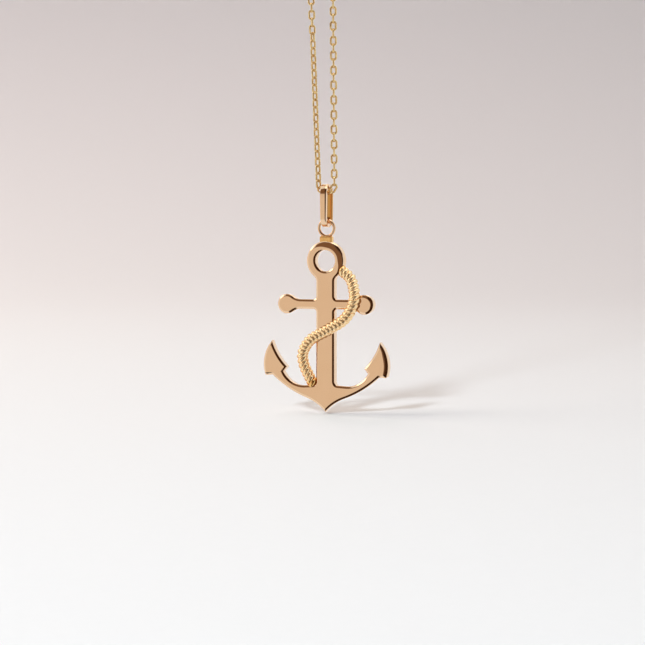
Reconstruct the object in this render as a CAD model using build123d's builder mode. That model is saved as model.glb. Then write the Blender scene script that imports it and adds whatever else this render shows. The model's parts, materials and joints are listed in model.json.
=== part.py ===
from build123d import *
from collections import namedtuple
from math import cos, pi, radians, sin, sqrt, tan
import os

# Anchor pendant on a fine chain, in millimetres.
# +Z is up and the front looks along -Y. The origin is where the chain hangs:
# the inner side of the loop, at its top.

# Chain and its loop
chain_width = 0.92        # across one link, the tube's diameter
loop_length = 400.0       # once round the whole loop
hang_radius = 4.5         # half the loop's inner width at its top
turn_radius = 1.25        # half the way between the strands' centre lines inside the bail
turn_flat = 0.06          # straight stretch in the middle of a bend
pendant_shift = 5.0       # the pendant hangs this far to the right of the top

# Clasp, a spring ring between two end loops
clasp_radius = 1.9        # centre line of the spring ring
clasp_wire = 1.1
clasp_drop = 13.0         # from the top of the loop to the clasp's centre
end_loop_radius = 0.75    # centre line of an end loop
end_loop_wire = 0.5
solder_overlap = 0.1      # how deep one soldered wire sinks into the next
chain_gap = 0.1           # between an end loop and the chain's end

# Bail, a flat band bent to a long loop
bail_height = 6.6
bail_depth = 3.2
bail_band = 0.6           # thickness of the band
bail_top_width = 1.1
bail_foot_width = 0.9
bail_edge = 0.18          # rounding of the band's edges
chain_clearance = 0.3     # from the chain up to the inside of the bail

# Ring on the anchor's head, and the saddle that it is soldered in
ring_radius = 1.2         # centre line
ring_wire = 0.5
ring_clearance = 0.25     # from the bail's foot up to the inside of the ring
saddle_width = 2.0
saddle_height = 0.66
saddle_depth = 0.9

# Anchor plate
plate_thickness = 1.5
plate_edge = 0.16         # rounding of its edges, front and back
head_radius = 3.0
eye_radius = 1.55
neck_fillet = 1.0
shank_width = 2.9
anchor_depth = 22.8       # from the head's centre down to the crown's tip
stock_drop = 6.55         # from the head's centre down to the stock
stock_reach = 7.7         # from the shank's middle to the end of the stock
stock_width = 1.5         # where it is narrowest
stock_end_radius = 1.5
stock_flare = 2.4         # radius of the sweep into a round end
stock_fillet = 0.45       # where the stock meets the shank
arm_reach = 10.05         # from the shank's middle to a fluke's outer edge
arm_height = 10.68        # from the crown's tip up to a fluke's tip
throat_fillet = 0.55      # where an arm meets the shank
heel_radius = 0.35        # outer lower corner of a fluke
barb_radius = 0.22        # the barb's corner and the notch below it
corner_reach = 0.3        # how near a corner lies to the place that names it

# Rope
rope_radius = 0.9
rope_groove = 0.2         # depth of the grooves between its strands
rib_spacing = 0.68
rope_strands = 3
rope_proud = 0.25         # its centre line stands this far before the plate
facets_per_rib = 4        # along the rope
rope_sides = facets_per_rib * rope_strands   # so that the grooves meet the corners

# An arm's outline, as shares of arm_reach across and of arm_height up from the crown's tip
Place = namedtuple("Place", "across up")
fluke_tip = Place(0.864, 1.000)
fluke_back = Place(0.988, 0.768)
fluke_foot = Place(0.985, 0.543)
heel = Place(0.975, 0.498)
heel_step = Place(0.851, 0.507)
arm_under = Place(0.565, 0.309)
crown_start = Place(0.298, 0.192)
crown_sweep = Place(0.149, 0.122)
crown_tip = Place(0.0, 0.0)
throat = Place(0.0, 0.391)
arm_top = Place(0.309, 0.375)
arm_bend = Place(0.537, 0.421)
notch = Place(0.676, 0.557)
barb = Place(0.616, 0.627)
fluke_hollow = Place(0.765, 0.799)

# The rope's centre line below its start on the head: shares of arm_reach across, of
# anchor_depth down from the head's centre, and of its full height before the plate
Bend = namedtuple("Bend", "across down lift")
rope_start = Place(0.833, -0.483)   # in shares of head_radius, from the head's centre
rope_start_lift = 0.25
rope_bends = [
    Bend(0.408, 0.121, 0.55),
    Bend(0.482, 0.233, 1.00),
    Bend(0.423, 0.322, 1.00),
    Bend(0.289, 0.395, 1.00),
    Bend(0.050, 0.456, 1.00),
    Bend(-0.209, 0.518, 0.95),
    Bend(-0.348, 0.597, 0.60),
    Bend(-0.363, 0.667, 0.35),
    Bend(-0.309, 0.737, 0.15),
    Bend(-0.199, 0.827, 0.00),
]

# Heights that follow, from the chain down to the head's centre
strand_drop = (loop_length - pi * (hang_radius + chain_width / 2 + turn_radius)) / 2
turn_z = -hang_radius - strand_drop
chain_z = turn_z - turn_radius
bail_top_z = chain_z + chain_width / 2 + chain_clearance + bail_band
bail_foot_z = bail_top_z - bail_height
foot_z = bail_foot_z + bail_band / 2
ring_z = foot_z + bail_band / 2 + ring_clearance - (ring_radius - ring_wire / 2)
head_z = ring_z - ring_radius - saddle_height - head_radius

front = Vector(0, -1, 0)
head_plane = Plane(origin=(pendant_shift, 0, head_z), x_dir=(1, 0, 0), z_dir=front)
ring_plane = Plane(origin=(pendant_shift, 0, ring_z), x_dir=(1, 0, 0), z_dir=front)


def arm_point(place):
    """A point of the arm's outline, from the head's centre."""
    return place.across * arm_reach, place.up * arm_height - anchor_depth


def corners(sketch, x, y):
    """The sketch's corners at a place and at the place mirrored across the shank."""
    return [v for v in sketch.vertices() if sqrt((abs(v.X) - x) ** 2 + (v.Y - y) ** 2) < corner_reach]


def rope_points():
    """The places that the rope's centre line passes, from the head to the left arm."""
    full_lift = plate_thickness / 2 + rope_proud
    start = head_plane.from_local_coords(
        Vector(rope_start.across * head_radius, rope_start.up * head_radius, rope_start_lift * full_lift)
    )
    places = [start]
    for bend in rope_bends:
        local = Vector(bend.across * arm_reach, -bend.down * anchor_depth, bend.lift * full_lift)
        places.append(head_plane.from_local_coords(local))
    return places


def rope_ring(line, station, stations):
    """One ring of the rope's surface, with the strands turned as far as its station."""
    share = station / stations
    centre = line.position_at(share)
    along = line.tangent_at(share)
    side = along.cross(front).normalized()
    forward = along.cross(side)
    points = []
    for corner in range(rope_sides):
        turn = 2 * pi * corner / rope_sides
        phase = rope_strands * corner / rope_sides - station / facets_per_rib
        off_crest = 2 * abs(phase - round(phase))
        depth = rope_groove * (1 - sqrt(1 - off_crest**2))
        radius = rope_radius - depth
        points.append(centre + side * (radius * cos(turn)) + forward * (radius * sin(turn)))
    return points


def triangle(a, b, c):
    """A flat face between three points."""
    return Face(Wire.make_polygon([a, b, c], close=True))


def rope_solid(line):
    """The twisted rope as a closed faceted solid along its centre line."""
    ribs = round(line.length / rib_spacing)
    stations = ribs * facets_per_rib
    rings = [rope_ring(line, station, stations) for station in range(stations + 1)]
    faces = []
    for this, following in zip(rings, rings[1:]):
        for corner in range(rope_sides):
            after = (corner + 1) % rope_sides
            faces.append(triangle(this[corner], this[after], following[after]))
            faces.append(triangle(this[corner], following[after], following[corner]))
    for end_ring, place in ((rings[0], 0), (rings[-1], 1)):
        middle = line.position_at(place)
        for corner in range(rope_sides):
            after = (corner + 1) % rope_sides
            faces.append(triangle(middle, end_ring[corner], end_ring[after]))
    return Solid(Shell(faces))


def bend_radius(before, first, second, after):
    """Radius of the two arcs that lead round a short run, with turn_flat left straight between them."""
    run = second - first
    turns = ((first - before).get_angle(run), run.get_angle(after - second))
    return (run.length - turn_flat) / sum(tan(radians(turn / 2)) for turn in turns)


os.makedirs("parts", exist_ok=True)

# Chain: down the right strand, round inside the bail, up the left strand and over the top
top_radius = hang_radius + chain_width / 2
right_top = Vector(top_radius, 0, chain_width / 2)
right_foot = Vector(pendant_shift + turn_radius, 0, chain_z)
strand_way = (right_foot - right_top).normalized()
clasp_centre = right_top + strand_way * clasp_drop
clasp_half = clasp_radius + clasp_wire / 2 - solder_overlap + 2 * end_loop_radius + end_loop_wire
chain_route = [
    clasp_centre + strand_way * (clasp_half + chain_gap),
    right_foot,
    Vector(pendant_shift - turn_radius, 0, chain_z),
    Vector(-top_radius, 0, chain_width / 2),
    right_top,
    clasp_centre - strand_way * (clasp_half + chain_gap),
]
inner_turn = bend_radius(*chain_route[:4])
outer_turn = bend_radius(*chain_route[2:])
with BuildLine() as chain_line:
    FilletPolyline(*chain_route, radius=[inner_turn, inner_turn, outer_turn, outer_turn])
with BuildPart() as chain:
    with BuildSketch(Plane(origin=chain_route[0], z_dir=strand_way)):
        Circle(chain_width / 2)
    sweep(path=chain_line.wire())
print("chain bend radii", [round(radius, 2) for radius in (inner_turn, inner_turn, outer_turn, outer_turn)])
print("chain length", round(chain_line.wire().length, 2))
print("chain volume", round(chain.part.volume, 3), "and section times length",
      round(pi * (chain_width / 2) ** 2 * chain_line.wire().length, 3))
chain.part.label = "chain"
export_step(chain.part, "parts/chain.step")

# Clasp: the spring ring, with an end loop soldered on above and below
clasp_plane = Plane(origin=clasp_centre, x_dir=strand_way, z_dir=front)
end_loop_place = clasp_half - end_loop_radius - end_loop_wire / 2
with BuildPart() as clasp:
    with Locations(clasp_plane):
        Torus(clasp_radius, clasp_wire / 2)
        with Locations((-end_loop_place, 0), (end_loop_place, 0)):
            Torus(end_loop_radius, end_loop_wire / 2)
clasp.part.label = "clasp"
export_step(clasp.part, "parts/clasp.step")

# Bail: a long loop seen from the side, cut to its tapered width seen from the front
bail_centre_z = bail_top_z - bail_height / 2
bail_centre = (pendant_shift, 0, bail_centre_z)
with BuildPart() as bail:
    with BuildSketch(Plane(origin=bail_centre, x_dir=(0, 0, 1), z_dir=(1, 0, 0))):
        SlotOverall(bail_height, bail_depth)
        SlotOverall(bail_height - 2 * bail_band, bail_depth - 2 * bail_band, mode=Mode.SUBTRACT)
    extrude(amount=bail_top_width, both=True)
    with BuildSketch(Plane(origin=bail_centre, x_dir=(1, 0, 0), z_dir=front)):
        with BuildLine():
            Polyline(
                (-bail_top_width / 2, bail_height / 2),
                (bail_top_width / 2, bail_height / 2),
                (bail_foot_width / 2, -bail_height / 2),
                (-bail_foot_width / 2, -bail_height / 2),
                close=True,
            )
        make_face()
    extrude(amount=bail_depth, both=True, mode=Mode.INTERSECT)
    sides = bail.faces().sort_by(Axis.X)
    fillet(sides[0].edges() + sides[-1].edges(), bail_edge)
bail.part.label = "bail"
export_step(bail.part, "parts/bail.step")

# Rope, from the head over the stock and the shank to the left arm
with BuildLine() as rope_line:
    Spline(*rope_points())
rope = rope_solid(rope_line.edges()[0])

# Anchor: the plate's outline, drawn from the head's centre on the plane of its back
throat_y = arm_point(throat)[1]
shank_foot_y = arm_point(crown_start)[1]
stock_end_x = stock_reach - stock_end_radius
neck_y = -sqrt(head_radius**2 - (shank_width / 2) ** 2)
flare_x = stock_end_x - sqrt(stock_end_radius**2 - (stock_width / 2) ** 2)
with BuildPart() as anchor:
    with BuildSketch(head_plane.offset(-plate_thickness / 2)) as outline:
        Circle(head_radius)
        with Locations((0, shank_foot_y / 2)):
            Rectangle(shank_width, -shank_foot_y)
        with Locations((0, -stock_drop)):
            Rectangle(2 * stock_end_x, stock_width)
        with Locations((-stock_end_x, -stock_drop), (stock_end_x, -stock_drop)):
            Circle(stock_end_radius)
        with BuildLine():
            ThreePointArc(arm_point(fluke_tip), arm_point(fluke_back), arm_point(fluke_foot))
            Polyline(arm_point(fluke_foot), arm_point(heel), arm_point(heel_step))
            ThreePointArc(arm_point(heel_step), arm_point(arm_under), arm_point(crown_start))
            ThreePointArc(arm_point(crown_start), arm_point(crown_sweep), arm_point(crown_tip))
            Line(arm_point(crown_tip), arm_point(throat))
            Line(arm_point(throat), arm_point(arm_top))
            ThreePointArc(arm_point(arm_top), arm_point(arm_bend), arm_point(notch))
            Line(arm_point(notch), arm_point(barb))
            ThreePointArc(arm_point(barb), arm_point(fluke_hollow), arm_point(fluke_tip))
        make_face()
        mirror(about=Plane.YZ)
        fillet(corners(outline, shank_width / 2, neck_y), neck_fillet)
        for stock_y in (-stock_drop - stock_width / 2, -stock_drop + stock_width / 2):
            fillet(corners(outline, flare_x, stock_y), stock_flare)
            fillet(corners(outline, shank_width / 2, stock_y), stock_fillet)
        fillet(corners(outline, shank_width / 2, throat_y), throat_fillet)
        fillet(corners(outline, *arm_point(heel)), heel_radius)
        for place in (notch, barb):
            fillet(corners(outline, *arm_point(place)), barb_radius)
        Circle(eye_radius, mode=Mode.SUBTRACT)
    extrude(amount=plate_thickness)
    fillet(anchor.faces().filter_by(Axis.Y).edges(), plate_edge)
    with Locations(ring_plane):
        Torus(ring_radius, ring_wire / 2)
    with Locations((pendant_shift, 0, head_z + head_radius)):
        Box(saddle_width, saddle_depth, 2 * saddle_height)
    add(rope)
anchor.part.label = "anchor"
export_step(anchor.part, "parts/anchor.step")
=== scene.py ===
"""Looks of an anchor pendant in polished gold, on a whole loop of fine cable chain.

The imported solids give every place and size. New pieces are modelled in millimetres in the
same frame and brought to metres when they are finished.
"""
import json
import logging
import math
from collections.abc import Callable, Iterator, Mapping, Sequence
from contextlib import contextmanager
from dataclasses import dataclass
from enum import Enum

import bpy
from mathutils import Matrix, Vector


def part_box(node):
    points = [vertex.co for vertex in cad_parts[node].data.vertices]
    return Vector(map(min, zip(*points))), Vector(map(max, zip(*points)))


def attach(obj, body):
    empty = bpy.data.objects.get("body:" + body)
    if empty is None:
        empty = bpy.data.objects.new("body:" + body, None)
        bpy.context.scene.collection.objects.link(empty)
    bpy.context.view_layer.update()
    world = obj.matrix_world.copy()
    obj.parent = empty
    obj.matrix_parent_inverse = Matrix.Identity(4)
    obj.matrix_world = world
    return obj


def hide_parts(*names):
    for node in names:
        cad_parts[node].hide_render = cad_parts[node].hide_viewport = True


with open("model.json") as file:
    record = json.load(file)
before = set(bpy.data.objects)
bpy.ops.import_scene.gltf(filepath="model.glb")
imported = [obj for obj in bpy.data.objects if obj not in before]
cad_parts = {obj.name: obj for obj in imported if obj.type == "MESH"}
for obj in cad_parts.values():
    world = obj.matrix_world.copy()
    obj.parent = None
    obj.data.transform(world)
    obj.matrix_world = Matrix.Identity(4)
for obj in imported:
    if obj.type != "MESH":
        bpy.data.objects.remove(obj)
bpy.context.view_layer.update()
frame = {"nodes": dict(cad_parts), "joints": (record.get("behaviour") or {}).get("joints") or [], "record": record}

log = logging.getLogger("anchor_pendant")

MM = 0.001                      # metres in a millimetre
Point = tuple[float, float]     # across and up, in millimetres


class Part(Enum):
    """Which elements of a mesh an edit works on, as Blender names them."""

    VERTICES = "VERT"
    EDGES = "EDGE"
    FACES = "FACE"


def linear(code: str) -> tuple[float, float, float, float]:
    """Turns an sRGB colour code into linear values.

    Args:
        code: six hexadecimal digits after a hash sign.

    Returns:
        Red, green, blue and full opacity.
    """
    shares = [int(code[start:start + 2], 16) / 255 for start in (1, 3, 5)]
    red, green, blue = (
        share / 12.92 if share <= 0.04045 else ((share + 0.055) / 1.055) ** 2.4 for share in shares
    )
    return red, green, blue, 1.0


def add_node(
    tree: bpy.types.NodeTree, kind: str, inputs: Mapping[str | int, object] | None = None, **settings: object
) -> bpy.types.Node:
    """Adds a node with its settings and links.

    Args:
        tree: the node tree that gets the node.
        kind: the node's type, as Blender names it.
        inputs: for each input, by name or number, a value or the output socket to link.
        settings: properties of the node itself.

    Returns:
        The new node.
    """
    node = tree.nodes.new(kind)
    for name, value in settings.items():
        setattr(node, name, value)
    for key, value in (inputs or {}).items():
        if isinstance(value, bpy.types.NodeSocket):
            tree.links.new(value, node.inputs[key])
        else:
            node.inputs[key].default_value = value
    return node


def mount_place(name: str) -> Vector:
    """Gives the place of one of the record's mounts, in millimetres."""
    mount = next(row for row in frame["record"]["mounts"] if row["name"] == name)
    return Vector(mount["pos_m"]) / MM


def joint_place(name: str) -> Vector:
    """Gives a point on the axis of one of the record's joints, in millimetres."""
    joint = next(row for row in frame["joints"] if row["name"] == name)
    return Vector(joint["pos_m"]) / MM


def make_active(piece: bpy.types.Object) -> None:
    """Selects one piece alone, so that an operator works on nothing else.

    Args:
        piece: the piece that operators are to work on.
    """
    bpy.ops.object.select_all(action="DESELECT")
    piece.select_set(True)
    bpy.context.view_layer.objects.active = piece


@contextmanager
def editing(piece: bpy.types.Object, part: Part, keep: Callable[[object], bool]) -> Iterator[None]:
    """Opens a piece in edit mode with some of its elements selected.

    Args:
        piece: the mesh piece to edit.
        part: the kind of element that is selected.
        keep: says whether an element is selected.

    Yields:
        Nothing. Edit mode is left when the block ends.
    """
    make_active(piece)
    mesh = piece.data
    for elements in (mesh.vertices, mesh.edges, mesh.polygons):
        elements.foreach_set("select", [False] * len(elements))
    elements = {Part.VERTICES: mesh.vertices, Part.EDGES: mesh.edges, Part.FACES: mesh.polygons}[part]
    for element in elements:
        element.select = keep(element)
    bpy.ops.object.mode_set(mode="EDIT")
    bpy.context.tool_settings.mesh_select_mode = [part is kind for kind in Part]
    yield
    bpy.ops.object.mode_set(mode="OBJECT")


def apply_modifier(piece: bpy.types.Object, kind: str, **settings: object) -> None:
    """Adds a modifier to a piece, sets it and applies it at once.

    Args:
        piece: the mesh piece that gets it.
        kind: the modifier's type, as Blender names it.
        settings: properties of the modifier.
    """
    make_active(piece)
    modifier = piece.modifiers.new(kind.lower(), kind)
    for name, value in settings.items():
        setattr(modifier, name, value)
    bpy.ops.object.modifier_apply(modifier=modifier.name)


def smooth(value: float, low: float, high: float) -> float:
    """Rises smoothly from 0 at low to 1 at high, or falls if high is under low."""
    share = min(max((value - low) / (high - low), 0.0), 1.0)
    return share * share * (3 - 2 * share)


def new_mesh(name: str, points: Sequence[Vector], faces: Sequence[Sequence[int]]) -> bpy.types.Object:
    """Makes a mesh piece.

    Args:
        name: of the mesh and of the piece.
        points: in millimetres.
        faces: the numbers of each face's points, in order.

    Returns:
        The new piece, still in millimetres.
    """
    mesh = bpy.data.meshes.new(name)
    mesh.from_pydata([tuple(point) for point in points], [], faces)
    mesh.update()
    piece = bpy.data.objects.new(name, mesh)
    bpy.context.scene.collection.objects.link(piece)
    return piece


def to_metres(piece: bpy.types.Object) -> None:
    """Brings a finished piece from millimetres to metres, with its place in its mesh.

    Args:
        piece: a mesh piece in millimetres.
    """
    make_active(piece)
    piece.scale = (MM, MM, MM)
    bpy.ops.object.transform_apply(location=True, rotation=True, scale=True)


def dress(piece: bpy.types.Object, material: bpy.types.Material) -> None:
    """Gives a piece one material, in place of any that it has."""
    piece.data.materials.clear()
    piece.data.materials.append(material)


def dress_part(
    piece: bpy.types.Object, material: bpy.types.Material, keep: Callable[[Vector], bool]
) -> None:
    """Gives some faces of a piece another material.

    Args:
        piece: a finished piece that has its first material.
        material: what the picked faces get.
        keep: says from a face's middle, in millimetres, whether it is picked.
    """
    piece.data.materials.append(material)
    for face in piece.data.polygons:
        if keep(face.center / MM):
            face.material_index = len(piece.data.materials) - 1


@dataclass(frozen=True)
class Gold:
    """Gold alloy of jewellery, cast or drawn and then polished.

    The alloy gives a warm, slightly rosy mirror. Buffing leaves soft, uneven gloss and
    faint waves, which break a reflection up at its edges.
    """

    name: str
    colour: str                 # where the surface was buffed most; on the chain, painted highlights
    shade: str                  # where it was buffed least; on the chain, painted dark reflections
    roughness: float
    dullest: float
    patch: float                # size of the uneven patches, mm
    wave: float                 # spacing of the waves that buffing leaves, mm
    wave_height: float          # mm
    back: str = ""              # painted reflection: a deeper colour behind the plane Y = 0, for darker things mirrored there
    metallic: float = 1.0       # under 1 where fine marks scatter part of the light

    def material(self) -> bpy.types.Material:
        """Builds the procedural material.

        Returns:
            A material that reads Object coordinates alone.
        """
        material = bpy.data.materials.new(self.name)
        material.use_nodes = True
        tree = material.node_tree
        shader = tree.nodes["Principled BSDF"]
        shader.inputs["Metallic"].default_value = self.metallic
        place = add_node(tree, "ShaderNodeTexCoord").outputs["Object"]
        patches = add_node(
            tree, "ShaderNodeTexNoise", {"Vector": place, "Scale": 1 / (self.patch * MM), "Detail": 3.0}
        )
        # The two colours are laid in random patches; on the chain they are painted highlights and painted dark
        # reflections.
        tint = add_node(
            tree, "ShaderNodeMix",
            {"Factor": patches.outputs["Fac"], 6: linear(self.colour), 7: linear(self.shade)},
            data_type="RGBA",
        )
        # Painted reflection: the part behind the plane Y = 0 gets a deeper colour, in place of the darker things
        # that it would mirror.
        if self.back:
            depth = add_node(tree, "ShaderNodeSeparateXYZ", {"Vector": place}).outputs["Y"]
            behind = add_node(
                tree, "ShaderNodeMapRange",
                {"Value": depth, "From Min": -0.2 * MM, "From Max": 0.6 * MM},
            )
            tint = add_node(
                tree, "ShaderNodeMix",
                {"Factor": behind.outputs["Result"], 6: tint.outputs[2], 7: linear(self.back)},
                data_type="RGBA",
            )
        gloss = add_node(
            tree, "ShaderNodeMapRange",
            {"Value": patches.outputs["Fac"], "To Min": self.roughness, "To Max": self.dullest,
             "From Min": 0.3, "From Max": 0.7},
        )
        waves = add_node(
            tree, "ShaderNodeTexNoise", {"Vector": place, "Scale": 1 / (self.wave * MM), "Detail": 1.0}
        )
        bump = add_node(
            tree, "ShaderNodeBump",
            {"Height": waves.outputs["Fac"], "Distance": self.wave_height * MM, "Strength": 1.0},
        )
        tree.links.new(tint.outputs[2], shader.inputs["Base Color"])
        tree.links.new(gloss.outputs["Result"], shader.inputs["Roughness"])
        tree.links.new(bump.outputs["Normal"], shader.inputs["Normal"])
        return material


# Cast plate and drawn ring, buffed to a mirror: soft, even reflections with crisp rims.
MIRROR_GOLD = Gold(
    name="mirror_polished_18ct_gold", colour="#F0C59B", shade="#ECBF93",
    roughness=0.05, dullest=0.11, patch=3.0, wave=2.2, wave_height=0.0015,
)
# Bent bail, buffed to a mirror. Its back leg has a painted reflection: a deeper colour in
# place of the darker things that it mirrors on a real table.
BAIL_GOLD = Gold(
    name="buffed_18ct_gold_of_the_bail", colour="#F0C59B", shade="#ECBF93",
    roughness=0.05, dullest=0.12, patch=2.0, wave=1.2, wave_height=0.002, back="#CD9450",
)
# Twisted rope of a paler, yellower alloy, bright on every rounded rib. Fine tool marks scatter a
# little of the light, which keeps the grooves from going black.
ROPE_GOLD = Gold(
    name="twisted_18ct_gold", colour="#FBD9A6", shade="#EFBC80",
    roughness=0.13, dullest=0.2, patch=0.6, wave=0.3, wave_height=0.002, metallic=0.86,
)
# A deeper yellow given to the saddle and to the rope's ends, where the parts are fused.
FUSED_GOLD = Gold(
    name="fused_18ct_gold", colour="#F5C27E", shade="#E8AC5C",
    roughness=0.12, dullest=0.22, patch=0.4, wave=0.25, wave_height=0.003,
)
# Drawn and tumbled wire of the chain and clasp: a yellower alloy, dented by tumbling. Its bright and
# dark spots come partly from the dents, partly from painted highlights and painted dark reflections.
CHAIN_GOLD = Gold(
    name="drawn_18ct_gold_wire", colour="#FFE6AA", shade="#CC8A3C",
    roughness=0.06, dullest=0.14, patch=0.45, wave=0.35, wave_height=0.05, metallic=0.94,
)


@dataclass
class Outline:
    """A line of points in the plane of the plate, from the head's centre, in millimetres."""

    points: list[Point]
    step: float = math.radians(5)       # between two points of an arc
    longest: float = 0.6                # distance between two points of an arc

    def line_to(self, place: Point) -> None:
        """Adds a straight run."""
        self.points.append(place)

    def arc_about(self, centre: Point, end: Point, clockwise: bool) -> None:
        """Adds an arc from the last point to another.

        Args:
            centre: the arc's centre.
            end: where the arc ends.
            clockwise: which way round it runs, as seen from the front.
        """
        start = self.points[-1]
        radius = math.dist(centre, start)
        first = math.atan2(start[1] - centre[1], start[0] - centre[0])
        last = math.atan2(end[1] - centre[1], end[0] - centre[0])
        turn = (last - first) % math.tau
        if clockwise:
            turn -= math.tau
        count = max(2, math.ceil(abs(turn) / self.step), math.ceil(abs(turn) * radius / self.longest))
        for index in range(1, count):
            angle = first + turn * index / count
            self.points.append((centre[0] + radius * math.cos(angle), centre[1] + radius * math.sin(angle)))
        self.points.append(end)

    def arc_through(self, middle: Point, end: Point) -> None:
        """Adds the arc that leads from the last point through another to the end.

        Args:
            middle: a point that the arc passes.
            end: where the arc ends.
        """
        centre = circle_centre(self.points[-1], middle, end)
        start = self.points[-1]
        cross = (middle[0] - start[0]) * (end[1] - start[1]) - (middle[1] - start[1]) * (end[0] - start[0])
        self.arc_about(centre, end, clockwise=cross < 0)

    def soften(self, corner: Point, radius: float, pieces: int = 6) -> None:
        """Rounds a corner between two straight runs of the line.

        Args:
            corner: the corner's place.
            radius: of the rounding.
            pieces: how many straight pieces make the rounding.
        """
        index = self.points.index(corner)
        before, after = self.points[index - 1], self.points[index + 1]
        into = Vector(corner) - Vector(before)
        out = Vector(after) - Vector(corner)
        turn = into.angle_signed(out)
        reach = radius * math.tan(abs(turn) / 2)
        start, end = toward(corner, before, reach), toward(corner, after, reach)
        way = into.normalized().orthogonal() * (radius if turn < 0 else -radius)
        centre = (start[0] + way.x, start[1] + way.y)
        curve = Outline([start], step=abs(turn) / pieces)
        curve.arc_about(centre, end, clockwise=turn > 0)
        self.points[index:index + 1] = curve.points

    def clear(self, corner: Point, reach: float) -> None:
        """Drops the points round a sharp corner, so that the rims don't cross in it."""
        self.points = [place for place in self.points if place == corner or math.dist(place, corner) > reach]


def toward(start: Point, end: Point, reach: float) -> Point:
    """Gives the point that lies a distance from one point towards another."""
    share = reach / math.dist(start, end)
    return start[0] + (end[0] - start[0]) * share, start[1] + (end[1] - start[1]) * share


def circle_centre(a: Point, b: Point, c: Point) -> Point:
    """Gives the centre of the circle through three points.

    Args:
        a: the first point.
        b: the second point.
        c: the third point.

    Returns:
        The centre.
    """
    cross = 2 * (a[0] * (b[1] - c[1]) + b[0] * (c[1] - a[1]) + c[0] * (a[1] - b[1]))
    squares = [p[0] ** 2 + p[1] ** 2 for p in (a, b, c)]
    across = squares[0] * (b[1] - c[1]) + squares[1] * (c[1] - a[1]) + squares[2] * (a[1] - b[1])
    up = squares[0] * (c[0] - b[0]) + squares[1] * (a[0] - c[0]) + squares[2] * (b[0] - a[0])
    return across / cross, up / cross


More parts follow.
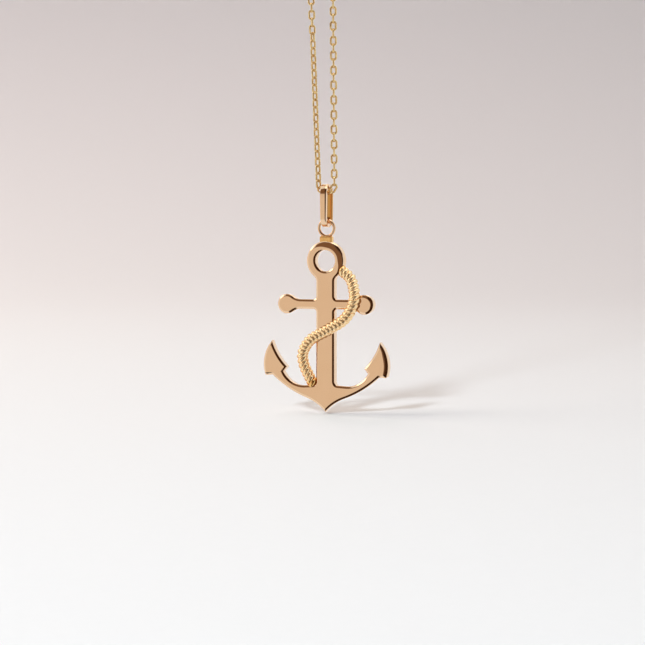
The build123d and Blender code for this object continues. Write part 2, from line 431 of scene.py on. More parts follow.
@dataclass
class AnchorPlate:
    """The flat anchor: head with its eye, stock, shank and two arms with barbed flukes."""

    thickness: float = 1.5
    head: float = 3.0                   # radius
    eye: float = 1.55                   # radius
    neck_fillet: float = 1.0
    shank: float = 2.96                 # width
    depth: float = 22.8                 # from the head's centre down to the crown's tip
    stock_drop: float = 6.55
    stock_reach: float = 7.7
    stock_width: float = 1.5
    stock_end: float = 1.5              # radius
    stock_flare: float = 2.4            # radius of the sweep into a round end
    stock_fillet: float = 0.45
    arm_reach: float = 10.05
    arm_height: float = 10.68
    throat: float = 0.55                # radius of the rounding between shank and arm
    heel: float = 0.35                  # radius
    tip_room: float = 0.72              # the outline has no point so near to a fluke's tip
    rim: float = 0.36                   # width of the plain rims
    # How far a plain rim falls away on each of its rings, from the face out: a steady slope that
    # ends round.
    rim_drops: tuple[float, ...] = (0.0, 0.016, 0.048, 0.078, 0.107, 0.133, 0.156, 0.18, 0.205, 0.24, 0.30)
    # The head's buffed edge where it is widest: how far inside the outline each ring lies, and how
    # far it has fallen away. A flat slope turns steep near the outline.
    head_edge: tuple[Point, ...] = (
        (1.03, 0.0), (0.99, 0.006), (0.82, 0.048), (0.64, 0.092), (0.52, 0.121), (0.42, 0.149),
        (0.32, 0.186), (0.22, 0.239), (0.13, 0.305), (0.045, 0.39), (0.0, 0.50),
    )
    fluke_scale: Point = (1.9, 1.5)     # the right fluke's outer rim against a plain one: width, drop
    end_scale: Point = (1.35, 1.2)      # the stock's right end against a plain rim: width, drop
    eye_narrow: float = 0.42            # how much narrower the eye's rim is at its upper right
    eye_fade: Point = (-0.2, 0.5)       # where round the eye that narrowing starts, and is whole
    head_fades: tuple[Point, Point] = ((-55, 8), (152, 78))     # degrees: the head's edge starts, is whole
    head_foot: float = -2.2             # under this height the head's edge gives way to the neck
    fluke_fade: Point = (0.98, 0.5)     # shares of the fluke's height: its edge starts, is whole
    fluke_side: float = 8.0             # further out than this a rim belongs to the fluke
    end_fade: Point = (100, 50)         # degrees from the middle of the stock's end: starts, is whole
    end_middle: float = 15.0            # degrees up
    close: float = 0.01                 # how far off the rim a point may lie and still belong to it
    support: float = 0.02               # flat ring that keeps the face's reflection straight
    sharpest: float = math.radians(34)  # a steeper edge than this stays crisp

    def arm_point(self, across: float, up: float) -> Point:
        """Gives a point of the arm from its shares of the arm's reach and height."""
        return across * self.arm_reach, up * self.arm_height - self.depth

    def half_outline(self) -> list[Point]:
        """Draws the right half of the plate, with the right half of its eye.

        Returns:
            The points of a closed line, from the head's top round to the eye's top.
        """
        side = self.shank / 2
        neck = (side + self.neck_fillet, -math.sqrt((self.head + self.neck_fillet) ** 2
                                                    - (side + self.neck_fillet) ** 2))
        neck_share = self.head / (self.head + self.neck_fillet)
        line = Outline([(0.0, self.head)])
        line.arc_about((0.0, 0.0), (neck[0] * neck_share, neck[1] * neck_share), clockwise=True)
        line.arc_about(neck, (side, neck[1]), clockwise=False)
        self.draw_stock(line, side)
        throat = self.arm_point(0.0, 0.391)
        arm_top = self.arm_point(0.309, 0.375)
        corner = (side, throat[1] + (arm_top[1] - throat[1]) * side / arm_top[0])
        line.line_to(corner)
        line.line_to(arm_top)
        line.soften(corner, self.throat)
        line.arc_through(self.arm_point(0.537, 0.421), self.arm_point(0.676, 0.557))
        line.line_to(self.arm_point(0.616, 0.627))
        line.arc_through(self.arm_point(0.765, 0.799), self.arm_point(0.864, 1.0))
        line.arc_through(self.arm_point(0.988, 0.768), self.arm_point(0.985, 0.543))
        heel = self.arm_point(0.975, 0.498)
        line.line_to(heel)
        line.line_to(self.arm_point(0.851, 0.507))
        line.soften(heel, self.heel)
        line.arc_through(self.arm_point(0.565, 0.309), self.arm_point(0.298, 0.192))
        line.arc_through(self.arm_point(0.149, 0.122), self.arm_point(0.0, 0.0))
        line.line_to((0.0, -self.eye))
        line.arc_about((0.0, 0.0), (0.0, self.eye), clockwise=False)
        line.clear(self.arm_point(0.864, 1.0), self.tip_room)
        return line.points

    def draw_stock(self, line: Outline, side: float) -> None:
        """Adds the right half of the stock to the outline, from its upper to its lower edge.

        Args:
            line: the outline, drawn down to the stock.
            side: how far the shank's side lies from the middle.
        """
        end = (self.stock_reach - self.stock_end, -self.stock_drop)
        half = self.stock_width / 2
        flare_radius = self.stock_end + self.stock_flare
        flare_x = end[0] - math.sqrt(flare_radius ** 2 - (half + self.stock_flare) ** 2)
        share = self.stock_end / flare_radius
        for sign in (1, -1):
            edge = end[1] + sign * half
            fillet = (side + self.stock_fillet, edge + sign * self.stock_fillet)
            flare = (flare_x, edge + sign * self.stock_flare)
            touch = (end[0] + (flare[0] - end[0]) * share, end[1] + (flare[1] - end[1]) * share)
            if sign > 0:
                line.line_to((side, fillet[1]))
                line.arc_about(fillet, (fillet[0], edge), clockwise=False)
                line.line_to((flare_x, edge))
                line.arc_about(flare, touch, clockwise=False)
                line.arc_about(end, (touch[0], 2 * end[1] - touch[1]), clockwise=True)
            else:
                line.arc_about(flare, (flare_x, edge), clockwise=False)
                line.line_to((fillet[0], edge))
                line.arc_about(fillet, (side, fillet[1]), clockwise=False)

    def plain_edge(self, scale: Point) -> tuple[Point, ...]:
        """Lists the rings of a plain rim, or of one that is so much wider and deeper.

        Args:
            scale: how many times wider, and how many times deeper.

        Returns:
            For each ring, how far inside the outline it lies and how far it has fallen away.
        """
        last = len(self.rim_drops) - 1
        return tuple(
            (self.rim * (1 - math.sin(ring / last * math.pi / 2)) * scale[0], drop * scale[1])
            for ring, drop in enumerate(self.rim_drops)
        )

    def build(self) -> bpy.types.Object:
        """Models the plate.

        Returns:
            The plate in metres, at its place.
        """
        centre = mount_place("anchor_eye")
        front = -self.thickness / 2
        points = self.half_outline()
        bpy.ops.object.select_all(action="DESELECT")
        bpy.ops.mesh.primitive_circle_add(vertices=len(points), radius=self.head, fill_type="NGON")
        piece = bpy.context.object
        piece.name = "anchor_plate"
        for vertex, (x, z) in zip(piece.data.vertices, points):
            vertex.co = (x, front, z)
        with editing(piece, Part.FACES, lambda face: True):
            bpy.ops.mesh.extrude_region_move(TRANSFORM_OT_translate={"value": (0, self.thickness, 0)})
            bpy.ops.mesh.select_all(action="SELECT")
            bpy.ops.mesh.normals_make_consistent(inside=False)
        apply_modifier(piece, "MIRROR", use_bisect_axis=(False, False, False), merge_threshold=0.001)
        corners = piece.data.vertices

        def on_seam_wall(face: bpy.types.MeshPolygon) -> bool:
            """Says whether a face lies in the plane that the halves meet in."""
            return all(abs(corners[number].co.x) < 0.0001 for number in face.vertices)

        with editing(piece, Part.FACES, on_seam_wall):
            bpy.ops.mesh.delete(type="ONLY_FACE")

        def on_rim(edge: bpy.types.MeshEdge) -> bool:
            """Says whether an edge runs along the outline or the eye, front or back.

            Args:
                edge: an edge of the plate's mesh.

            Returns:
                True for the edges that are rounded.
            """
            ends = [corners[number].co for number in edge.vertices]
            flat = abs(ends[0].y - ends[1].y) < 0.0001
            return flat and not all(abs(end.x) < 0.0001 for end in ends)

        with editing(piece, Part.EDGES, on_rim):
            bpy.ops.mesh.bevel(
                offset=self.rim, segments=len(self.rim_drops) - 1, profile=0.5, affect="EDGES",
                clamp_overlap=False,
            )
        self.buff_rims(piece, front)
        with editing(piece, Part.FACES, lambda face: abs(face.normal.y) > 0.9999 and face.area > 5):
            bpy.ops.mesh.inset(thickness=self.support, depth=0, use_boundary=True, use_even_offset=True)
        with editing(piece, Part.VERTICES, lambda vertex: True):
            bpy.ops.transform.translate(value=centre)
        to_metres(piece)
        bpy.ops.object.shade_smooth_by_angle(angle=self.sharpest)
        return piece

    def buff_rims(self, piece: bpy.types.Object, front: float) -> None:
        """Gives the front rim its profile, wider where the plate was buffed rounder.

        Args:
            piece: the plate with even, round rims, round the head's centre.
            front: the front face's place along Y.
        """
        fluke = [self.arm_point(0.864, 1.0), self.arm_point(0.988, 0.768), self.arm_point(0.985, 0.543)]
        fluke_centre = circle_centre(*fluke)
        fluke_radius = math.dist(fluke_centre, fluke[0])
        end_centre = (self.stock_reach - self.stock_end, -self.stock_drop)
        plain = self.plain_edge((1.0, 1.0))
        fluke_edge, end_edge = self.plain_edge(self.fluke_scale), self.plain_edge(self.end_scale)
        for vertex in piece.data.vertices:
            x, y, z = vertex.co
            if y - front > self.rim + 0.001:
                continue
            turn = math.acos(max(1 - (y - front) / self.rim, 0)) / (math.pi / 2)
            ring = round(turn * (len(plain) - 1))
            centre, radius, share, edge = (0.0, 0.0), None, 0.0, plain
            if self.inside_rim(self.head - math.hypot(x, z)) and z > self.head_foot:
                angle = math.degrees(math.atan2(z, x))
                radius, edge = self.head, self.head_edge
                share = smooth(angle, *self.head_fades[0]) * smooth(angle, *self.head_fades[1])
            elif (
                x > self.fluke_side and z > self.heel_level()
                and self.inside_rim(fluke_radius - math.dist(fluke_centre, (x, z)))
            ):
                height = (z - fluke[2][1]) / (fluke[0][1] - fluke[2][1])
                centre, radius, edge = fluke_centre, fluke_radius, fluke_edge
                share = smooth(height, *self.fluke_fade)
            elif x > end_centre[0] - 0.5 and self.inside_rim(self.stock_end - math.dist(end_centre, (x, z))):
                angle = math.degrees(math.atan2(z - end_centre[1], x - end_centre[0]))
                centre, radius, edge = end_centre, self.stock_end, end_edge
                share = smooth(abs(angle - self.end_middle), *self.end_fade)
            elif self.inside_rim(math.hypot(x, z) - self.eye):
                self.buff_eye(vertex, front, plain[ring])
                continue
            drop = plain[ring][1] + (edge[ring][1] - plain[ring][1]) * share
            move = 0.0
            if radius is not None:
                inset = radius - math.dist(centre, (x, z))
                move = (inset - edge[ring][0]) * share / math.dist(centre, (x, z))
            vertex.co = (x + (x - centre[0]) * move, front + drop, z + (z - centre[1]) * move)

    def buff_eye(self, vertex: bpy.types.MeshVertex, front: float, place: Point) -> None:
        """Gives one point of the eye's rim its place, nearer to the eye at its upper right.

        Args:
            vertex: the point.
            front: the front face's place along Y.
            place: of its ring on a plain rim: how far from the eye, and how far fallen away.
        """
        x, _, z = vertex.co
        away = math.hypot(x, z)
        narrow = self.eye_narrow * smooth((x + z) / away / math.sqrt(2), *self.eye_fade)
        scale = 1 - (away - self.eye) * narrow / away
        vertex.co = (x * scale, front + place[1] * (1 - narrow), z * scale)

    def inside_rim(self, inset: float) -> bool:
        """Says whether a point that far inside the outline belongs to the rim."""
        return -self.close <= inset <= self.rim + self.close

    def heel_level(self) -> float:
        """Gives the height at which a fluke's outer edge starts."""
        return self.arm_point(0.985, 0.543)[1] - self.close


@dataclass
class Rope:
    """The twisted rope that winds from the head over the stock and the shank to the left arm."""

    radius: float = 0.9
    wire: float = 0.42                  # radius of one strand; the strands sink into each other
    strands: int = 2
    rib: float = 0.68                   # spacing of the ribs along the rope
    proud: float = 0.25                 # its centre line stands this far before the plate
    points_per_turn: int = 24
    wire_sides: int = 16
    line_points: int = 400              # of the centre line
    sharpest: float = math.radians(50)  # a steeper edge than this stays crisp
    fused: Point = (0.9, 1.3)           # how far the fused gold reaches from its upper and lower end

    def path(self, plate: AnchorPlate) -> list[Vector]:
        """Gives the places that the rope's centre line passes, from the head down.

        Args:
            plate: the plate that the rope lies on.

        Returns:
            The places, in millimetres.
        """
        full = plate.thickness / 2 + self.proud
        start = (0.833 * plate.head, -0.483 * plate.head, 0.25)
        bends = [
            (0.408, 0.121, 0.55), (0.482, 0.233, 1.0), (0.423, 0.322, 1.0), (0.289, 0.395, 1.0),
            (0.050, 0.456, 1.0), (-0.209, 0.518, 0.95), (-0.348, 0.597, 0.6), (-0.363, 0.667, 0.35),
            (-0.309, 0.737, 0.15), (-0.199, 0.827, 0.0),
        ]
        places = [start] + [(a * plate.arm_reach, -d * plate.depth, lift) for a, d, lift in bends]
        centre = mount_place("anchor_eye")
        return [centre + Vector((x, -lift * full, z)) for x, z, lift in places]

    def build(self, plate: AnchorPlate) -> bpy.types.Object:
        """Models the rope as strands wound round its centre line.

        Args:
            plate: the plate that the rope lies on.

        Returns:
            The rope in metres, at its place.
        """
        line = smooth_line(self.path(plate), self.line_points)
        length = line[-1][0]
        ribs = round(length / self.rib)
        turns = ribs / self.strands
        count = round(turns * self.points_per_turn)
        curve = bpy.data.curves.new("anchor_rope", "CURVE")
        curve.dimensions = "3D"
        curve.bevel_depth = self.wire
        curve.bevel_resolution = (self.wire_sides - 4) // 2
        curve.use_fill_caps = True
        winding = self.radius - self.wire
        for strand in range(self.strands):
            spline = curve.splines.new("POLY")
            spline.points.add(count)
            for number in range(count + 1):
                centre, along = line_at(line, length * number / count)
                side = along.cross(Vector((0, -1, 0))).normalized()
                forward = along.cross(side)
                angle = math.tau * (turns * number / count + strand / self.strands)
                place = centre + side * (winding * math.cos(angle)) + forward * (winding * math.sin(angle))
                spline.points[number].co = (*place, 1)
        piece = bpy.data.objects.new("anchor_rope", curve)
        bpy.context.scene.collection.objects.link(piece)
        make_active(piece)
        bpy.ops.object.convert(target="MESH")
        to_metres(piece)
        bpy.ops.object.shade_smooth_by_angle(angle=self.sharpest)
        return piece


def smooth_line(places: Sequence[Vector], count: int) -> list[tuple[float, Vector]]:
    """Draws a smooth line through places.

    Args:
        places: the places that the line passes, in order.
        count: how many points the line gets between two places, all together.

    Returns:
        The line's points, each with its distance along the line from the start.
    """
    padded = [2 * places[0] - places[1], *places, 2 * places[-1] - places[-2]]
    each = count // (len(places) - 1)
    points = []
    for index in range(1, len(padded) - 2):
        before, start, end, after = padded[index - 1:index + 3]
        for step in range(each):
            share = step / each
            points.append(catmull(before, start, end, after, share))
    points.append(places[-1].copy())
    line = [(0.0, points[0])]
    for point in points[1:]:
        line.append((line[-1][0] + (point - line[-1][1]).length, point))
    return line


def catmull(before: Vector, start: Vector, end: Vector, after: Vector, share: float) -> Vector:
    """Gives a point of the smooth line between two places.

    Args:
        before: the place ahead of the two.
        start: the first of the two.
        end: the second of the two.
        after: the place past the two.
        share: how far along the point lies, from 0 at start to 1 at end.

    Returns:
        The point.
    """
    return 0.5 * (
        2 * start + (end - before) * share
        + (2 * before - 5 * start + 4 * end - after) * share ** 2
        + (3 * start - before - 3 * end + after) * share ** 3
    )


def line_at(line: Sequence[tuple[float, Vector]], distance: float) -> tuple[Vector, Vector]:
    """Gives the place and the direction of a line at a distance from its start.

    Args:
        line: points, each with its distance from the start.
        distance: from the start.

    Returns:
        The place, and the direction as a unit vector.
    """
    low, high = 0, len(line) - 1
    while high - low > 1:
        middle = (low + high) // 2
        if line[middle][0] <= distance:
            low = middle
        else:
            high = middle
    (start_at, start), (end_at, end) = line[low], line[high]
    share = (distance - start_at) / (end_at - start_at)
    return start.lerp(end, share), (end - start).normalized()


@dataclass
class RingAndSaddle:
    """The round ring on the anchor's head and the small saddle that it is soldered in."""

    ring: float = 1.2                   # radius of the centre line
    wire: float = 0.25                  # radius
    width: float = 2.0
    height: float = 0.66
    depth: float = 0.9
    edge: float = 0.16                  # rounding of the saddle's edges
    sharpest: float = math.radians(40)  # a steeper edge than this stays crisp
    fused: float = 0.05                 # how far the fused gold reaches above the saddle's top

    def build(self, plate: AnchorPlate) -> bpy.types.Object:
        """Models the ring and the saddle.

        Args:
            plate: the plate that carries them.

        Returns:
            Both as one piece in metres, at their place.
        """
        head = mount_place("anchor_eye")
        top = head + Vector((0, 0, plate.head))
        bpy.ops.object.select_all(action="DESELECT")
        bpy.ops.mesh.primitive_torus_add(
            location=top + Vector((0, 0, self.height + self.ring)), rotation=(math.pi / 2, 0, 0),
            major_radius=self.ring, minor_radius=self.wire, major_segments=72, minor_segments=24,
        )
        ring = bpy.context.object
        ring.name = "anchor_ring"
        bpy.ops.object.select_all(action="DESELECT")
        bpy.ops.mesh.primitive_cube_add(size=1, location=top)
        saddle = bpy.context.object
        saddle.scale = (self.width, self.depth, 2 * self.height)
        bpy.ops.object.transform_apply(location=False, rotation=False, scale=True)
        with editing(saddle, Part.EDGES, lambda edge: True):
            bpy.ops.mesh.bevel(offset=self.edge, segments=4, affect="EDGES")
            bpy.ops.mesh.select_all(action="DESELECT")
        with editing(saddle, Part.FACES, lambda face: face.area > 0.2):
            bpy.ops.mesh.inset(thickness=0.02)
        make_active(ring)
        saddle.select_set(True)
        bpy.ops.object.join()
        bpy.ops.object.transform_apply(location=True, rotation=True, scale=True)
        to_metres(ring)
        bpy.ops.object.shade_smooth_by_angle(angle=self.sharpest)
        return ring


@dataclass
class Bail:
    """The flat band bent to a long closed loop, with a narrow slope buffed along one outer edge."""

    height: float = 6.6
    depth: float = 3.2
    band: float = 0.6                   # thickness
    top_width: float = 1.1
    foot_width: float = 0.9
    slopes: Point = (0.24, 0.09)        # width of the buffed slope, at the top and at the foot
    slope_turn: float = math.radians(22)
    edge: float = 0.11                  # rounding of the other edges
    turn_steps: int = 24                # straight pieces round each end
    sharpest: float = math.radians(20)  # a steeper edge than this stays crisp

    def section(self, level: float) -> list[Point]:
        """Draws the band's cross-section.

        Args:
            level: how high it lies, from 0 at the foot to 1 at the top.

        Returns:
            Points of a closed line: across the band, and outwards from its middle.
        """
        half = (self.foot_width + (self.top_width - self.foot_width) * level) / 2
        slope = self.slopes[1] + (self.slopes[0] - self.slopes[1]) * level
        out, edge, turn = self.band / 2, self.edge, self.slope_turn
        shoulder = out - slope * math.sin(turn) - edge * math.cos(turn)
        foot = (half - edge + edge * math.sin(turn), shoulder + edge * math.cos(turn))
        line = Outline([(-half + edge, out)], step=math.radians(18))
        line.line_to((foot[0] - slope * math.cos(turn), out))
        line.line_to(foot)
        line.arc_about((half - edge, shoulder), (half, shoulder), clockwise=True)
        line.line_to((half, edge - out))
        line.arc_about((half - edge, edge - out), (half - edge, -out), clockwise=True)
        line.line_to((edge - half, -out))
        line.arc_about((edge - half, edge - out), (-half, edge - out), clockwise=True)
        line.line_to((-half, out - edge))
        line.arc_about((edge - half, out - edge), (edge - half, out), clockwise=True)
        return line.points[:-1]

    def build(self) -> bpy.types.Object:
        """Models the bail.

        Returns:
            The bail in metres, at its place.
        """
        low, high = (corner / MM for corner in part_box("bail"))
        centre = Vector(((low.x + high.x) / 2, 0, (low.z + high.z) / 2))
        radius = (self.depth - self.band) / 2
        places: list[Vector] = []
        for end in (0, 1):
            middle = (0.5 - end) * (self.height - self.depth)
            for step in range(self.turn_steps + 1):
                angle = math.pi * (end + step / self.turn_steps)
                level = (middle + radius * math.sin(angle)) / self.height + 0.5
                places += [
                    centre + Vector((
                        across, (radius + out) * math.cos(angle), middle + (radius + out) * math.sin(angle)
                    ))
                    for across, out in self.section(level)
                ]
        bpy.ops.object.select_all(action="DESELECT")
        bpy.ops.mesh.primitive_torus_add(
            major_segments=2 * (self.turn_steps + 1), minor_segments=len(self.section(1.0)),
            major_radius=radius, minor_radius=self.band / 2,
        )
        piece = bpy.context.object
        piece.name = "bail_band"
        for vertex, place in zip(piece.data.vertices, places):
            vertex.co = place
        with editing(piece, Part.FACES, lambda face: True):
            bpy.ops.mesh.normals_make_consistent(inside=False)
        to_metres(piece)
        bpy.ops.object.shade_smooth_by_angle(angle=self.sharpest)
        return piece


@dataclass
class CableChain:
    """The fine cable chain, one whole loop of oval links, from end loop to end loop."""

    wire: float = 0.17                  # radius
    link_length: float = 1.66
    link_width: float = 1.1
    pitch: float = 1.1
    tube: float = 0.92                  # width of the stretch that the solid chain fills
    around: int = 14
    sides: int = 6
    facing: float = 21.0                # degrees that every other link is turned from the plate's plane
    turn_flat: float = 0.06             # straight run left between two bends
    bend_steps: int = 24                # straight pieces that each bend is drawn with
    # Further turns of the left strand: degrees, and the heights where each starts and is whole.
    left_turns: tuple[tuple[float, float, float], ...] = ((45, -169.5, -174.5), (35, -182.0, -188.0))

    def link(self) -> tuple[list[Vector], list[tuple[int, ...]]]:
        """Models one oval link, long along X and lying in the XZ plane.

        Returns:
            Its points and its faces.
        """
        straight = (self.link_length - self.link_width) / 2
        bpy.ops.object.select_all(action="DESELECT")
        bpy.ops.mesh.primitive_torus_add(
            major_radius=self.link_width / 2 - self.wire, minor_radius=self.wire,
            major_segments=self.around, minor_segments=self.sides, rotation=(math.pi / 2, 0, 0),
        )
        torus = bpy.context.object
        bpy.ops.object.transform_apply(location=True, rotation=True, scale=True)
        with editing(torus, Part.VERTICES, lambda vertex: vertex.co.x > 0.001):
            bpy.ops.transform.translate(value=(straight, 0, 0))
        with editing(torus, Part.VERTICES, lambda vertex: vertex.co.x < -0.001):
            bpy.ops.transform.translate(value=(-straight, 0, 0))
        points = [vertex.co.copy() for vertex in torus.data.vertices]
        faces = [tuple(face.vertices) for face in torus.data.polygons]
        bpy.data.objects.remove(torus)
        return points, faces

    def route(self) -> list[tuple[float, Vector]]:
        """Draws the chain's way: down the right strand, through the bail and up and over.

        Returns:
            The line's points in millimetres, each with its distance from the start.
        """
        turn = joint_place("bail_swing")
        low, high = (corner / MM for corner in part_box("chain"))
        clasp_low, clasp_high = (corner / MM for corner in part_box("clasp"))
        top_z = high.z - self.tube / 2
        reach = -low.x - self.tube / 2
        turn_half = high.x - self.tube / 2 - turn.x
        corners = [
            Vector((turn.x + turn_half, 0, turn.z)), Vector((turn.x - turn_half, 0, turn.z)),
            Vector((-reach, 0, top_z)), Vector((reach, 0, top_z)),
        ]
        way = (corners[0] - corners[3]).normalized()
        start = corners[3] + way * (-clasp_low.z + top_z)
        end = corners[3] + way * (top_z - clasp_high.z)
        line = [start]
        for place, corner in enumerate(corners):
            before = start if place == 0 else corners[place - 1]
            after = end if place == 3 else corners[place + 1]
            pair = (corners[0], corners[1]) if place < 2 else (corners[2], corners[3])
            line += self.bend(before, corner, after, self.bend_radius(corners, start, end, pair))
        line.append(end)
        measured = [(0.0, line[0])]
        for point in line[1:]:
            measured.append((measured[-1][0] + (point - measured[-1][1]).length, point))
        return measured

    def bend_radius(
        self, corners: Sequence[Vector], start: Vector, end: Vector, pair: tuple[Vector, Vector]
    ) -> float:
        """Gives the radius of the two equal arcs that lead round between two corners.

        Args:
            corners: of the route, in order.
            start: where the route starts.
            end: where the route ends.
            pair: the two corners.

        Returns:
            The radius, in millimetres.
        """
        places = [start, *corners, end]
        first = places.index(pair[0])
        run = pair[1] - pair[0]
        turns = (run.angle(pair[0] - places[first - 1]), run.angle(places[first + 2] - pair[1]))
        return (run.length - self.turn_flat) / sum(math.tan(turn / 2) for turn in turns)

    def bend(self, before: Vector, corner: Vector, after: Vector, radius: float) -> list[Vector]:
        """Rounds one corner of the route with an arc.

        Args:
            before: the corner, or the route's start, ahead of it.
            corner: the corner.
            after: the corner, or the route's end, past it.
            radius: of the arc.

        Returns:
            The arc's points, close together.
        """
        into = (corner - before).normalized()
        out = (after - corner).normalized()
        turn = into.angle(out)
        reach = radius * math.tan(turn / 2)
        inward = (out - into).normalized()
        centre = corner + inward * (radius / math.cos(turn / 2))
        spoke = corner - into * reach - centre
        axis = into.cross(out).normalized()
        return [
            centre + Matrix.Rotation(turn * step / self.bend_steps, 3, axis) @ spoke
            for step in range(self.bend_steps + 1)
        ]

    def twist(self, place: Vector, distance: float, length: float) -> float:
        """Says how far the links are turned about the chain's line at a place.

        Args:
            place: the link's centre.
            distance: how far along the chain it is.
            length: of the whole chain.

        Returns:
            The turn in radians.
        """
        if distance <= length / 2:
            return math.radians(-self.facing)
        turned = sum(most * smooth(place.z, start, whole) for most, start, whole in self.left_turns)
        return math.radians(self.facing + turned)

    def build(self) -> bpy.types.Object:
        """Models the whole chain as one mesh of interlocking links.

        Returns:
            The chain in metres, at its place.
        """
        points, faces = self.link()
        line = self.route()
        length = line[-1][0]
        count = round((length + self.link_length - self.pitch) / self.pitch)
        spacing = length / (count - 1)
        all_points: list[Vector] = []
        all_faces: list[tuple[int, ...]] = []
        for number in range(count):
            distance = min(number * spacing, length - 0.0001)
            centre, along = line_at(line, distance)
            across = Vector((0, 1, 0)).cross(along).normalized()
            depth = across.cross(along)
            turn = self.twist(centre, distance, length) + (math.pi / 2 if number % 2 else 0)
            base = Matrix((along, depth, across)).transposed()
            matrix = Matrix.Rotation(turn, 3, along) @ base
            first = len(all_points)
            all_points += [centre + matrix @ point for point in points]
            all_faces += [tuple(first + corner for corner in face) for face in faces]
        piece = new_mesh("cable_chain", all_points, all_faces)
        log.info("cable_chain has %d links over %.1f mm", count, length)
        to_metres(piece)
        bpy.ops.object.shade_smooth()
        return piece


def sine(degrees: float) -> float:
    """Gives the sine of an angle in degrees."""
    return math.sin(math.radians(degrees))


def cosine(degrees: float) -> float:
    """Gives the cosine of an angle in degrees."""
    return math.cos(math.radians(degrees))


def heading(azimuth: float, elevation: float) -> Vector:
    """Gives the direction that lies so many degrees round from the front, and so many up."""
    turn, rise = math.radians(azimuth), math.radians(elevation)
    return Vector((math.sin(turn) * math.cos(rise), -math.cos(turn) * math.cos(rise), math.sin(rise)))


@dataclass(frozen=True)
class View:
    """Something that the gold mirrors: a lit screen or a dark opening of the studio."""

    azimuth: float              # degrees round from the plate's front, of its middle
    half_width: float           # degrees
    low: float                  # degrees up, of its lower edge
    high: float                 # degrees up, of its upper edge
    fade: float                 # degrees over which its edges fade, each way
    light: tuple[float, float, float]


@dataclass(frozen=True)
class Lamp:
    """A soft lamp that lights the paper."""

    name: str
    azimuth: float              # degrees round from the plate's front
    elevation: float            # degrees up
    away: float                 # metres from the pendant
    size: float                 # metres
    power: float                # watts
    colour: tuple[float, float, float] = (1.0, 1.0, 1.0)
    aim_behind: float = 0.0     # metres behind the pendant that it is aimed at


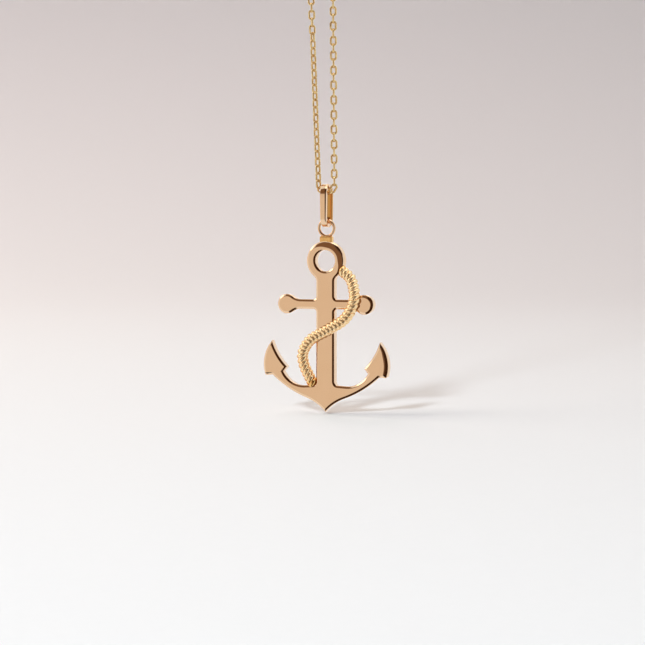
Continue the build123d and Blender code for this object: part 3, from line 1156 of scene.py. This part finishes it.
@dataclass
class Studio:
    """Pale floor that sweeps up all round, soft light, and the camera."""

    azimuth: float = 21.0               # degrees round from the plate's front
    elevation: float = 3.0
    distance: float = 330.0             # mm
    pixel: float = 0.15                 # mm that one pixel covers at that distance
    frame_pixels: float = 645.0
    head_pixel: Point = (324.85, 260.7)
    floor_gap: float = 0.3              # under the crown's tip
    flat_radius: float = 0.40           # metres of level floor
    sweep_radius: float = 1.6
    sweep_turn: float = math.radians(75)
    sweep_steps: int = 30
    floor_sides: int = 160
    white: tuple[float, float, float] = (0.95, 1.08, 1.25)
    views: tuple[View, ...] = (
        View(-15, 32, -26, 9, 6, (0.82, 0.82, 0.82)),
        View(95, 100, 62, 95, 5, (2.1, 2.2, 2.3)),
        View(-21, 25, 6, 60, 4, (0.22, 0.14, 0.09)),
        View(13, 13, -14, 22, 3, (0.22, 0.14, 0.09)),
        View(32, 30, 19, 58, 6, (0.05, 0.024, 0.01)),
        View(39, 13, -14, 24, 3, (0.05, 0.024, 0.01)),
        View(30, 18, -44, -10, 5, (0.05, 0.024, 0.01)),
        View(10, 24, -78, -28, 6, (0.05, 0.024, 0.01)),
        View(-72, 12, 22, 42, 3, (3.0, 3.0, 3.0)),
    )
    lamps: tuple[Lamp, ...] = (
        Lamp("key_light", 1, 23, 1.2, 0.165, 16.6, (0.76, 0.885, 0.97)),
        Lamp("left_light", -75, 50, 1.0, 0.8, 9.05, (1.0, 0.93, 0.83)),
        Lamp("back_light", -140, 50, 1.2, 0.6, 4.1, (1.0, 0.77, 0.745), aim_behind=0.4),
    )

    def build(self, plate: AnchorPlate) -> None:
        """Sets up the camera, the floor and the light.

        Args:
            plate: the plate that the camera is aimed at.
        """
        self.add_camera(plate)
        self.add_floor()
        self.add_lights()
        self.add_world()
        bpy.context.scene.view_settings.view_transform = "Standard"

    def add_camera(self, plate: AnchorPlate) -> None:
        """Places the camera so that the head lies at its pixel.

        Args:
            plate: the plate that the camera is aimed at.
        """
        back = heading(self.azimuth, self.elevation)
        right = heading(self.azimuth + 90, 0)
        up = back.cross(right)
        head = mount_place("anchor_eye") + Vector((0, -plate.thickness / 2, 0))
        middle = self.frame_pixels / 2
        across = (self.head_pixel[0] - middle) * self.pixel
        above = (middle - self.head_pixel[1]) * self.pixel
        aim = head - right * across - up * above
        data = bpy.data.cameras.new("camera")
        data.sensor_width = 36.0
        data.lens = data.sensor_width * self.distance / (self.frame_pixels * self.pixel)
        data.clip_start = 0.01
        camera = bpy.data.objects.new("camera", data)
        camera.location = (aim + back * self.distance) * MM
        camera.rotation_mode = "QUATERNION"
        camera.rotation_quaternion = (-back).to_track_quat("-Z", "Y")
        bpy.context.scene.collection.objects.link(camera)
        bpy.context.scene.camera = camera

    def add_floor(self) -> None:
        """Makes the floor, level near the pendant and swept up far from it on all sides."""
        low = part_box("anchor")[0]
        level = low.z - self.floor_gap * MM
        centre = mount_place("anchor_eye").x * MM
        bpy.ops.object.select_all(action="DESELECT")
        bpy.ops.mesh.primitive_circle_add(
            vertices=self.floor_sides, radius=self.flat_radius, fill_type="NGON",
            location=(centre, 0, level),
        )
        floor = bpy.context.object
        floor.name = "floor"
        bpy.ops.object.transform_apply(location=True, rotation=True, scale=True)
        radius = self.flat_radius
        height = level
        with editing(floor, Part.EDGES, lambda edge: True):
            for step in range(1, self.sweep_steps + 1):
                angle = self.sweep_turn * step / self.sweep_steps
                new_radius = self.flat_radius + self.sweep_radius * math.sin(angle)
                new_height = level + self.sweep_radius * (1 - math.cos(angle))
                bpy.ops.mesh.extrude_edges_move(
                    TRANSFORM_OT_translate={"value": (0, 0, new_height - height)}
                )
                bpy.ops.transform.resize(
                    value=(new_radius / radius, new_radius / radius, 1),
                    center_override=(centre, 0, new_height),
                )
                radius, height = new_radius, new_height
            bpy.ops.mesh.select_all(action="SELECT")
            bpy.ops.mesh.normals_make_consistent(inside=True)
        bpy.ops.object.shade_smooth()
        dress(floor, self.paper())
        floor.visible_glossy = False

    def paper(self) -> bpy.types.Material:
        """Builds matt white paper: even, with a faint grain.

        Returns:
            The procedural material.
        """
        material = bpy.data.materials.new("matt_white_paper")
        material.use_nodes = True
        tree = material.node_tree
        shader = tree.nodes["Principled BSDF"]
        shader.inputs["Roughness"].default_value = 0.9
        shader.inputs["Specular IOR Level"].default_value = 0.1
        place = add_node(tree, "ShaderNodeTexCoord").outputs["Object"]
        grain = add_node(tree, "ShaderNodeTexNoise", {"Vector": place, "Scale": 900.0, "Detail": 4.0})
        tint = add_node(
            tree, "ShaderNodeMix",
            {"Factor": grain.outputs["Fac"], 6: linear("#DDDCDC"), 7: linear("#DBDADA")},
            data_type="RGBA",
        )
        tree.links.new(tint.outputs[2], shader.inputs["Base Color"])
        return material

    def add_lights(self) -> None:
        """Hangs the soft lamps over the paper. The gold mirrors only the screens round it."""
        middle = mount_place("anchor_eye") * MM
        for lamp in self.lamps:
            data = bpy.data.lights.new(lamp.name, "AREA")
            data.shape = "DISK"
            data.size = lamp.size
            data.energy = lamp.power
            data.color = lamp.colour
            light = bpy.data.objects.new(lamp.name, data)
            light.location = middle + heading(lamp.azimuth, lamp.elevation) * lamp.away
            aim = middle + heading(self.azimuth, 0) * -lamp.aim_behind
            light.rotation_mode = "QUATERNION"
            light.rotation_quaternion = (aim - light.location).to_track_quat("-Z", "Y")
            light.visible_glossy = False
            light.visible_camera = False
            bpy.context.scene.collection.objects.link(light)

    def add_world(self) -> None:
        """Makes what the polished gold mirrors: white all round, with dark openings and lit screens."""
        world = bpy.data.worlds.new("studio")
        bpy.context.scene.world = world
        world.use_nodes = True
        world.cycles_visibility.diffuse = False
        tree = world.node_tree
        way = add_node(tree, "ShaderNodeTexCoord").outputs["Generated"]
        height = add_node(tree, "ShaderNodeSeparateXYZ", {"Vector": way}).outputs["Z"]
        level = add_node(tree, "ShaderNodeVectorMath", {0: way, 1: (1.0, 1.0, 0.0)}, operation="MULTIPLY")
        round_way = add_node(
            tree, "ShaderNodeVectorMath", {0: level.outputs["Vector"]}, operation="NORMALIZE"
        ).outputs["Vector"]

        def share(value: bpy.types.NodeSocket, none: float, full: float) -> bpy.types.NodeSocket:
            """Rises smoothly from 0 to 1 between two values.

            Args:
                value: what it follows.
                none: where it is 0.
                full: where it is 1.

            Returns:
                The output that gives the share.
            """
            return add_node(
                tree, "ShaderNodeMapRange", {"Value": value, "From Min": none, "From Max": full},
                interpolation_type="SMOOTHSTEP",
            ).outputs["Result"]

        colour: object = (*self.white, 1.0)
        for view in self.views:
            across = add_node(
                tree, "ShaderNodeVectorMath", {0: round_way, 1: heading(view.azimuth, 0)},
                operation="DOT_PRODUCT",
            ).outputs["Value"]
            shares = []
            if view.half_width + view.fade < 180:
                shares.append(share(across, cosine(view.half_width + view.fade),
                                    cosine(view.half_width - view.fade)))
            shares.append(share(height, sine(view.low - view.fade), sine(view.low + view.fade)))
            if view.high + view.fade < 90:
                shares.append(share(height, sine(view.high + view.fade), sine(view.high - view.fade)))
            whole = shares[0]
            for other in shares[1:]:
                whole = add_node(
                    tree, "ShaderNodeMath", {0: whole, 1: other}, operation="MULTIPLY"
                ).outputs["Value"]
            colour = add_node(
                tree, "ShaderNodeMix", {"Factor": whole, 6: colour, 7: (*view.light, 1.0)}, data_type="RGBA"
            ).outputs[2]
        tree.links.new(colour, tree.nodes["Background"].inputs["Color"])


def dress_node(name: str, material: bpy.types.Material) -> None:
    """Gives one of the solids that stay as they are its finish.

    Args:
        name: of the solid.
        material: its finish.
    """
    node = frame["nodes"][name]
    dress(node, material)
    log.info("%s keeps its solid", name)


def main() -> None:
    """Builds the pieces in order and says what each one is."""
    logging.basicConfig(level=logging.INFO, format="%(message)s")
    mirror_gold, bail_gold, rope_gold, fused_gold, chain_gold = (
        finish.material() for finish in (MIRROR_GOLD, BAIL_GOLD, ROPE_GOLD, FUSED_GOLD, CHAIN_GOLD)
    )
    plate, rope, mount = AnchorPlate(), Rope(), RingAndSaddle()
    ends = rope.path(plate)
    fused_top = mount_place("anchor_eye").z + plate.head + mount.height + mount.fused

    def at_rope_end(place: Vector) -> bool:
        """Says whether a place lies in the fused gold at either end of the rope."""
        return any((place - end).length < reach for end, reach in zip((ends[0], ends[-1]), rope.fused))

    for piece, material, fused in (
        (plate.build(), mirror_gold, None),
        (rope.build(plate), rope_gold, at_rope_end),
        (mount.build(plate), mirror_gold, lambda place: place.z < fused_top),
    ):
        dress(piece, material)
        if fused is not None:
            dress_part(piece, fused_gold, fused)
        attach(piece, "pendant")
        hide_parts("anchor")
        log.info("%s has %d faces", piece.name, len(piece.data.polygons))
    chain = CableChain().build()
    dress(chain, chain_gold)
    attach(chain, "necklace")
    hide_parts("chain")
    log.info("%s has %d faces", chain.name, len(chain.data.polygons))
    bail = Bail().build()
    dress(bail, bail_gold)
    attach(bail, "bail_body")
    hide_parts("bail")
    log.info("%s has %d faces", bail.name, len(bail.data.polygons))
    dress_node("clasp", chain_gold)
    Studio().build(plate)


if __name__ == "__main__":
    main()
